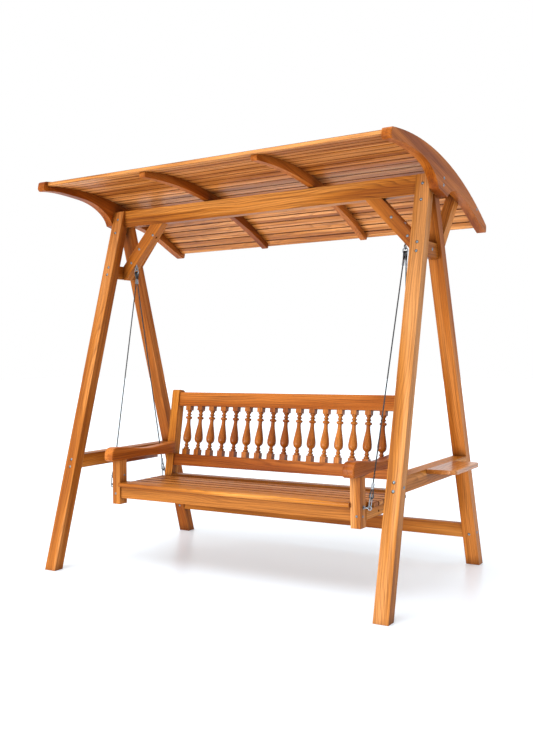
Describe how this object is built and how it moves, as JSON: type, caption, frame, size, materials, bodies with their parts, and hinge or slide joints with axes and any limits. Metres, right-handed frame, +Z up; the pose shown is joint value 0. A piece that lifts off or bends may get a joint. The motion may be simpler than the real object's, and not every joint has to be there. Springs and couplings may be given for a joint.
{
  "type": "wooden porch swing with a canopy",
  "caption": "Freestanding wooden porch swing: an A-frame stand with an arched slatted canopy and a slatted bench with a turned-baluster back, hung on steel ropes.",
  "frame": {"origin": "on the floor, under the middle of the ridge beam, midway between the four feet", "axes": "+X along the bench to the right as seen from the front, +Y from the front to the back, +Z up"},
  "size_m": [2.2725, 1.3338, 2.1974],
  "materials": {
    "oiled_teak": "satin",
    "galvanised_steel": "satin",
    "wire_rope": "matt"
  },
  "bodies": {
    "stand": {"beam_bolts": "galvanised_steel", "brace_bolts": "galvanised_steel", "brace_left": "oiled_teak", "brace_right": "oiled_teak", "canopy_bolts": "galvanised_steel", "canopy_end_left": "oiled_teak", "canopy_end_right": "oiled_teak", "canopy_rib_left": "oiled_teak", "canopy_rib_right": "oiled_teak", "canopy_slats_front": "oiled_teak", "canopy_slats_rear": "oiled_teak", "canopy_strut_left": "oiled_teak", "canopy_strut_right": "oiled_teak", "hanger_eye_bolts": "galvanised_steel", "hanger_nuts": "galvanised_steel", "leg_front_left": "oiled_teak", "leg_front_right": "oiled_teak", "leg_rear_left": "oiled_teak", "leg_rear_right": "oiled_teak", "rail_bolts": "galvanised_steel", "rear_stretcher": "oiled_teak", "ridge_beam": "oiled_teak", "side_rail_left": "oiled_teak", "side_rail_right": "oiled_teak", "tie_bolts": "galvanised_steel", "tie_left": "oiled_teak", "tie_right": "oiled_teak", "tray_left": "oiled_teak", "tray_right": "oiled_teak"},
    "bench": {"armrest_left": "oiled_teak", "armrest_right": "oiled_teak", "back_lower_rail": "oiled_teak", "back_post_left": "oiled_teak", "back_post_right": "oiled_teak", "back_top_rail": "oiled_teak", "balusters": "oiled_teak", "bench_bolts": "galvanised_steel", "front_post_left": "oiled_teak", "front_post_right": "oiled_teak", "rope_eyes": "wire_rope", "rope_ferrules": "galvanised_steel", "rope_front_left": "wire_rope", "rope_front_right": "wire_rope", "rope_rear_left": "wire_rope", "rope_rear_right": "wire_rope", "rope_thimbles": "galvanised_steel", "seat_bearer_left": "oiled_teak", "seat_bearer_right": "oiled_teak", "seat_eye_bolts": "galvanised_steel", "seat_front_rail": "oiled_teak", "seat_links": "galvanised_steel", "seat_rear_rail": "oiled_teak", "seat_side_rail_left": "oiled_teak", "seat_side_rail_right": "oiled_teak", "seat_slat_front": "oiled_teak", "seat_slat_rear": "oiled_teak", "seat_slat_short": "oiled_teak", "seat_slats": "oiled_teak", "top_links": "galvanised_steel"}
  },
  "joints": [
    {"name": "seat_swing", "type": "hinge", "parent": "stand", "child": "bench", "pos_m": [0, -0.016, 1.721], "axis": [1, 0, 0], "range_deg": [-20, 20]}
  ]
}
